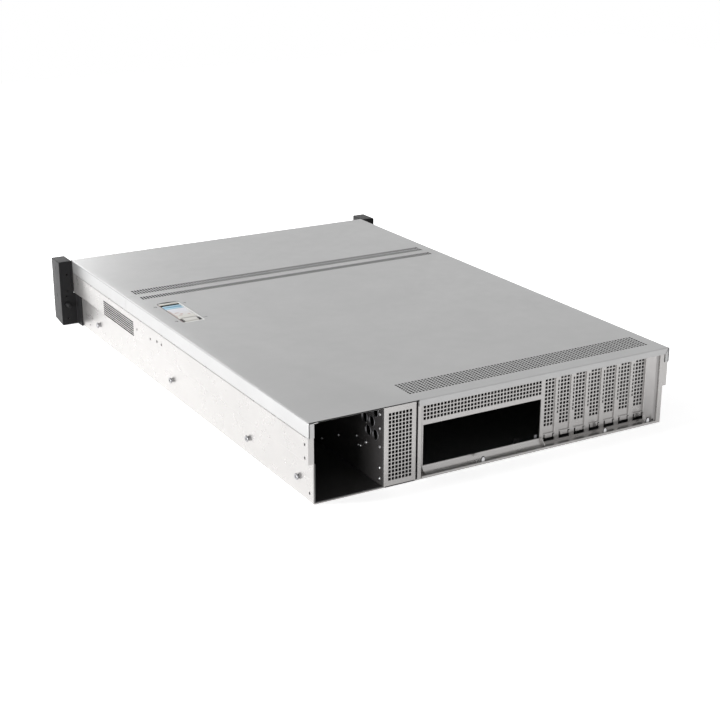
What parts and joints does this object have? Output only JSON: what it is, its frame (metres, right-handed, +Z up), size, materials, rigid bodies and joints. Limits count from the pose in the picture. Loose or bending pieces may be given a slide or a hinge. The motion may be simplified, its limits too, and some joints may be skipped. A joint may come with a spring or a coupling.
{
  "type": "rackmount server case",
  "caption": "Empty two-unit rackmount server case with sliding rear cover and latch, hot-swap drive trays, perforated rear panels and rack ears.",
  "frame": {"origin": "centre of the bounding box in X and Y, on the floor's underside", "axes": "+X to the right seen from the front, +Y to the rear, +Z up"},
  "size_m": [0.4826, 0.7, 0.087],
  "materials": {
    "cover_steel": "satin",
    "case_steel": "satin",
    "black_steel": "satin",
    "black_film": "smooth film",
    "black_plastic": "fine grain",
    "handle_plastic": "fine grain",
    "bright_steel": "zinc plated",
    "brass": "brass",
    "white_plastic": "satin",
    "latch_plastic": "satin",
    "button_plastic": "satin",
    "board_green": "solder mask"
  },
  "bodies": {
    "case": {"chassis_base": "case_steel", "front_cover": "cover_steel", "rear_wall": "case_steel", "vent_panel": "case_steel", "bay_divider": "black_steel", "bay_screws": "bright_steel", "slot_screws": "bright_steel", "cage_shelf_1": "case_steel", "cage_shelf_2": "case_steel", "cage_dividers": "case_steel", "backplane": "board_green", "fan_wall": "black_steel", "board_standoffs": "brass", "floor_film": "black_film", "latch_catch": "case_steel", "ear_bracket_right": "black_steel", "ear_bracket_left": "black_steel", "ear_right": "black_plastic", "ear_left": "black_plastic", "rail_studs": "bright_steel", "slot_cover_1": "case_steel", "slot_cover_2": "case_steel", "slot_cover_3": "case_steel", "slot_cover_4": "case_steel", "slot_cover_5": "case_steel", "slot_cover_6": "case_steel", "slot_cover_7": "case_steel"},
    "cover": {"rear_cover": "cover_steel", "latch_tub": "white_plastic", "latch_pin": "bright_steel"},
    "latch": {"latch_lever": "latch_plastic"},
    "tray_1": {"tray_1": "black_plastic"},
    "handle_1": {"tray_handle_1": "handle_plastic"},
    "tray_2": {"tray_2": "black_plastic"},
    "handle_2": {"tray_handle_2": "handle_plastic"},
    "tray_3": {"tray_3": "black_plastic"},
    "handle_3": {"tray_handle_3": "handle_plastic"},
    "tray_4": {"tray_4": "black_plastic"},
    "handle_4": {"tray_handle_4": "handle_plastic"},
    "tray_5": {"tray_5": "black_plastic"},
    "handle_5": {"tray_handle_5": "handle_plastic"},
    "tray_6": {"tray_6": "black_plastic"},
    "handle_6": {"tray_handle_6": "handle_plastic"},
    "tray_7": {"tray_7": "black_plastic"},
    "handle_7": {"tray_handle_7": "handle_plastic"},
    "tray_8": {"tray_8": "black_plastic"},
    "handle_8": {"tray_handle_8": "handle_plastic"},
    "tray_9": {"tray_9": "black_plastic"},
    "handle_9": {"tray_handle_9": "handle_plastic"},
    "tray_10": {"tray_10": "black_plastic"},
    "handle_10": {"tray_handle_10": "handle_plastic"},
    "tray_11": {"tray_11": "black_plastic"},
    "handle_11": {"tray_handle_11": "handle_plastic"},
    "tray_12": {"tray_12": "black_plastic"},
    "handle_12": {"tray_handle_12": "handle_plastic"},
    "power_key": {"power_button": "button_plastic"},
    "reset_key": {"reset_button": "button_plastic"},
    "screw_right": {"rack_screw_right": "bright_steel"},
    "screw_left": {"rack_screw_left": "bright_steel"}
  },
  "joints": [
    {"name": "cover_slide", "type": "slide", "parent": "case", "child": "cover", "axis": [0, 1, 0], "range_m": [0, 0.012]},
    {"name": "latch_hinge", "type": "hinge", "parent": "cover", "child": "latch", "pos_m": [0.1875, -0.0034, 0.0815], "axis": [-1, 0, 0], "range_deg": [0, 85]},
    {"name": "tray_slide_1", "type": "slide", "parent": "case", "child": "tray_1", "axis": [0, -1, 0], "range_m": [0, 0.165]},
    {"name": "handle_hinge_1", "type": "hinge", "parent": "tray_1", "child": "handle_1", "pos_m": [-0.1126, -0.3184, 0.0143], "axis": [0, 0, 1], "range_deg": [0, 65]},
    {"name": "tray_slide_2", "type": "slide", "parent": "case", "child": "tray_2", "axis": [0, -1, 0], "range_m": [0, 0.165]},
    {"name": "handle_hinge_2", "type": "hinge", "parent": "tray_2", "child": "handle_2", "pos_m": [-0.0046, -0.3184, 0.0143], "axis": [0, 0, 1], "range_deg": [0, 65]},
    {"name": "tray_slide_3", "type": "slide", "parent": "case", "child": "tray_3", "axis": [0, -1, 0], "range_m": [0, 0.165]},
    {"name": "handle_hinge_3", "type": "hinge", "parent": "tray_3", "child": "handle_3", "pos_m": [0.1034, -0.3184, 0.0143], "axis": [0, 0, 1], "range_deg": [0, 65]},
    {"name": "tray_slide_4", "type": "slide", "parent": "case", "child": "tray_4", "axis": [0, -1, 0], "range_m": [0, 0.165]},
    {"name": "handle_hinge_4", "type": "hinge", "parent": "tray_4", "child": "handle_4", "pos_m": [0.2114, -0.3184, 0.0143], "axis": [0, 0, 1], "range_deg": [0, 65]},
    {"name": "tray_slide_5", "type": "slide", "parent": "case", "child": "tray_5", "axis": [0, -1, 0], "range_m": [0, 0.165]},
    {"name": "handle_hinge_5", "type": "hinge", "parent": "tray_5", "child": "handle_5", "pos_m": [-0.1126, -0.3184, 0.0423], "axis": [0, 0, 1], "range_deg": [0, 65]},
    {"name": "tray_slide_6", "type": "slide", "parent": "case", "child": "tray_6", "axis": [0, -1, 0], "range_m": [0, 0.165]},
    {"name": "handle_hinge_6", "type": "hinge", "parent": "tray_6", "child": "handle_6", "pos_m": [-0.0046, -0.3184, 0.0423], "axis": [0, 0, 1], "range_deg": [0, 65]},
    {"name": "tray_slide_7", "type": "slide", "parent": "case", "child": "tray_7", "axis": [0, -1, 0], "range_m": [0, 0.165]},
    {"name": "handle_hinge_7", "type": "hinge", "parent": "tray_7", "child": "handle_7", "pos_m": [0.1034, -0.3184, 0.0423], "axis": [0, 0, 1], "range_deg": [0, 65]},
    {"name": "tray_slide_8", "type": "slide", "parent": "case", "child": "tray_8", "axis": [0, -1, 0], "range_m": [0, 0.165]},
    {"name": "handle_hinge_8", "type": "hinge", "parent": "tray_8", "child": "handle_8", "pos_m": [0.2114, -0.3184, 0.0423], "axis": [0, 0, 1], "range_deg": [0, 65]},
    {"name": "tray_slide_9", "type": "slide", "parent": "case", "child": "tray_9", "axis": [0, -1, 0], "range_m": [0, 0.165]},
    {"name": "handle_hinge_9", "type": "hinge", "parent": "tray_9", "child": "handle_9", "pos_m": [-0.1126, -0.3184, 0.0703], "axis": [0, 0, 1], "range_deg": [0, 65]},
    {"name": "tray_slide_10", "type": "slide", "parent": "case", "child": "tray_10", "axis": [0, -1, 0], "range_m": [0, 0.165]},
    {"name": "handle_hinge_10", "type": "hinge", "parent": "tray_10", "child": "handle_10", "pos_m": [-0.0046, -0.3184, 0.0703], "axis": [0, 0, 1], "range_deg": [0, 65]},
    {"name": "tray_slide_11", "type": "slide", "parent": "case", "child": "tray_11", "axis": [0, -1, 0], "range_m": [0, 0.165]},
    {"name": "handle_hinge_11", "type": "hinge", "parent": "tray_11", "child": "handle_11", "pos_m": [0.1034, -0.3184, 0.0703], "axis": [0, 0, 1], "range_deg": [0, 65]},
    {"name": "tray_slide_12", "type": "slide", "parent": "case", "child": "tray_12", "axis": [0, -1, 0], "range_m": [0, 0.165]},
    {"name": "handle_hinge_12", "type": "hinge", "parent": "tray_12", "child": "handle_12", "pos_m": [0.2114, -0.3184, 0.0703], "axis": [0, 0, 1], "range_deg": [0, 65]},
    {"name": "power_press", "type": "slide", "parent": "case", "child": "power_key", "axis": [0, 1, 0], "range_m": [0, 0.0012], "stiffness_N_per_m": 400},
    {"name": "reset_press", "type": "slide", "parent": "case", "child": "reset_key", "axis": [0, 1, 0], "range_m": [0, 0.0012], "stiffness_N_per_m": 400},
    {"name": "rack_screw_right_turn", "type": "hinge", "parent": "case", "child": "screw_right", "pos_m": [0.23255, -0.343, 0.028], "axis": [0, 1, 0], "continuous": true},
    {"name": "rack_screw_left_turn", "type": "hinge", "parent": "case", "child": "screw_left", "pos_m": [-0.23255, -0.343, 0.028], "axis": [0, 1, 0], "continuous": true}
  ],
  "couplings": [
    {"joint": "latch_hinge", "follows": "cover_slide", "rad_per_m": 123.6}
  ]
}
